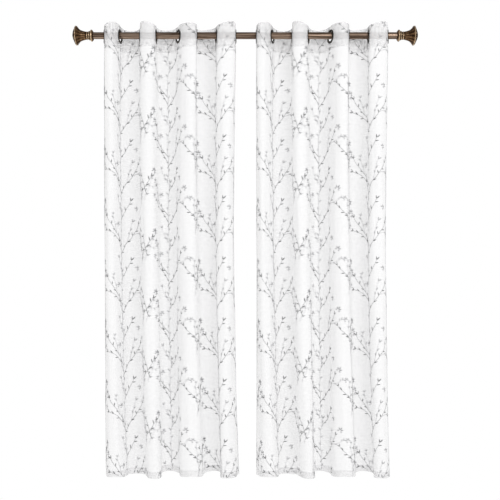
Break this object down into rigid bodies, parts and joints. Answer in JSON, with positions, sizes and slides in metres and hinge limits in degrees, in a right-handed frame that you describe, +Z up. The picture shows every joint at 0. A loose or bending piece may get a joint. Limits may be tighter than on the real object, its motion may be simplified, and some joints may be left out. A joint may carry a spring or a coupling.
{
  "type": "sheer voile curtains on a curtain rod",
  "caption": "Matching pair of sheer white voile curtain panels with a grey twig print, hung by metal eyelets from a bronze rod with fluted trumpet finials.",
  "frame": {"origin": "middle of the rod's axis, between its two ends", "axes": "+X along the rod to the right as seen from the room, +Y towards the wall, +Z up"},
  "size_m": [1.641, 0.144, 2.149],
  "materials": {
    "voile": "fine plain-weave sheer voile, see-through, with a soft grey twig print",
    "eyelet": "dark gunmetal plating, satin",
    "rod": "brushed bronze lacquer with fine lengthwise streaks",
    "finial": "antique bronze, gold rubbed on the high places and dark in the grooves"
  },
  "bodies": {
    "root": {"rod": "rod", "finial_left": "finial", "finial_right": "finial", "panel_left": "voile", "panel_right": "voile", "eyelet_left_1": "eyelet", "eyelet_left_2": "eyelet", "eyelet_left_3": "eyelet", "eyelet_left_4": "eyelet", "eyelet_left_5": "eyelet", "eyelet_left_6": "eyelet", "eyelet_left_7": "eyelet", "eyelet_left_8": "eyelet", "eyelet_right_1": "eyelet", "eyelet_right_2": "eyelet", "eyelet_right_3": "eyelet", "eyelet_right_4": "eyelet", "eyelet_right_5": "eyelet", "eyelet_right_6": "eyelet", "eyelet_right_7": "eyelet", "eyelet_right_8": "eyelet"}
  },
  "joints": []
}
